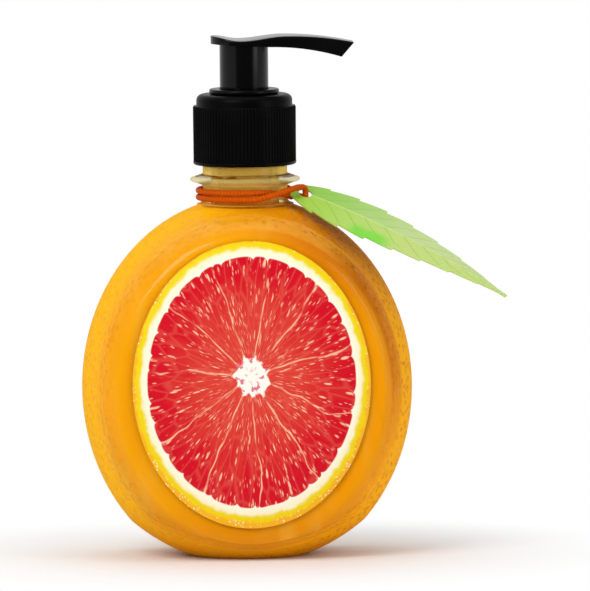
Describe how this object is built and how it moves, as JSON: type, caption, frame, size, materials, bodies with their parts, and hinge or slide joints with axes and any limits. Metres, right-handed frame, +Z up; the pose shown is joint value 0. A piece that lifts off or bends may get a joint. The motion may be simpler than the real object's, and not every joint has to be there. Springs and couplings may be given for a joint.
{
  "type": "liquid soap pump bottle",
  "caption": "Clear citrus-shaped liquid soap bottle with flat oval panels, a printed slice label, a black lotion pump and a leaf tag on an elastic neck loop.",
  "frame": {"origin": "centre of the ring that the bottle stands on, on the pump's axis", "axes": "+Z up along the pump's axis, -Y out of the label, +X along the spout"},
  "size_m": [0.1387, 0.0568, 0.1712],
  "materials": {
    "clear_shell": "clear, glossy",
    "soap": "clear amber liquid",
    "label_print": "glossy printed film",
    "elastic": "matte elastic cord",
    "leaf_card": "coated card",
    "black_plastic": "satin to gloss",
    "gasket_foam": "soft foam",
    "white_plastic": "natural polypropylene",
    "spring_steel": "drawn stainless wire"
  },
  "bodies": {
    "bottle_body": {"bottle": "clear_shell", "liquid_soap": "soap", "front_label": "label_print", "neck_loop": "elastic"},
    "pump_body": {"pump_housing": "white_plastic", "lock_collar": "black_plastic", "neck_gasket": "gasket_foam", "dip_tube": "white_plastic", "return_spring": "spring_steel"},
    "cap": {"screw_closure": "black_plastic"},
    "valve_ball": {"inlet_ball": "spring_steel"},
    "plunger": {"piston": "white_plastic"},
    "head": {"pump_head": "black_plastic", "stem": "white_plastic", "piston_seat": "white_plastic"},
    "leaf": {"leaf_tag": "leaf_card"}
  },
  "joints": [
    {"name": "pump_lift", "type": "slide", "parent": "bottle_body", "child": "pump_body", "axis": [0, 0, 1], "range_m": [0, 0.006]},
    {"name": "closure_turn", "type": "hinge", "parent": "pump_body", "child": "cap", "pos_m": [0, 0, 0.14], "axis": [0, 0, 1], "range_deg": [0, 540]},
    {"name": "ball_lift", "type": "slide", "parent": "pump_body", "child": "valve_ball", "axis": [0, 0, 1], "range_m": [0, 0.002]},
    {"name": "head_press", "type": "slide", "parent": "pump_body", "child": "plunger", "axis": [0, 0, -1], "range_m": [0, 0.012], "stiffness_N_per_m": 400, "springref_m": -0.008, "deforming": ["return_spring"]},
    {"name": "head_swivel", "type": "hinge", "parent": "plunger", "child": "head", "pos_m": [0, 0, 0.16], "axis": [0, 0, 1], "continuous": true},
    {"name": "leaf_swing", "type": "hinge", "parent": "bottle_body", "child": "leaf", "pos_m": [0.01944, -0.00651, 0.11945], "axis": [-0.3173, -0.9483, 0], "range_deg": [0, 35]}
  ],
  "couplings": [
    {"joint": "closure_turn", "follows": "pump_lift", "rad_per_m": 1570.8}
  ]
}
